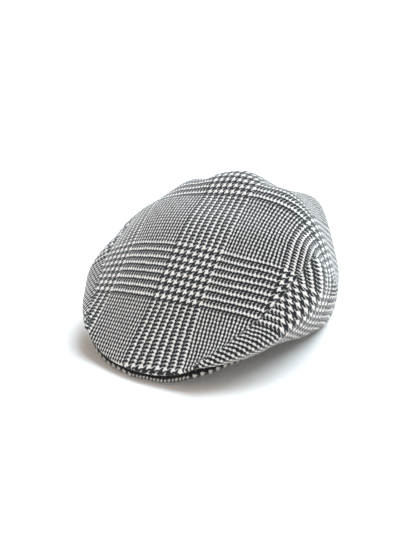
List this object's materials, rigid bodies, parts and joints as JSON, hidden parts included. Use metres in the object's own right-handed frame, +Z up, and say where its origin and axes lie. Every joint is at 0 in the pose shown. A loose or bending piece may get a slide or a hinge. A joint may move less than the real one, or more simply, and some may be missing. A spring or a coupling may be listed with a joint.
{
  "type": "flat cap",
  "caption": "Flat cap in checked wool: a rounded crown top sloping down over a short stiff peak, a leaf-shaped panel at each side and an open head hollow below.",
  "frame": {"origin": "middle of the cap's outline on the surface that it rests on", "axes": "+Z up, -Y to the front where the peak points, +X to the wearer's left"},
  "size_m": [0.205, 0.2436, 0.125],
  "materials": {
    "checked_wool": "matte black and cream glen check in a twill weave"
  },
  "bodies": {
    "root": {"top_panel": "checked_wool", "side_panel_left": "checked_wool", "side_panel_right": "checked_wool", "peak": "checked_wool"}
  },
  "joints": []
}
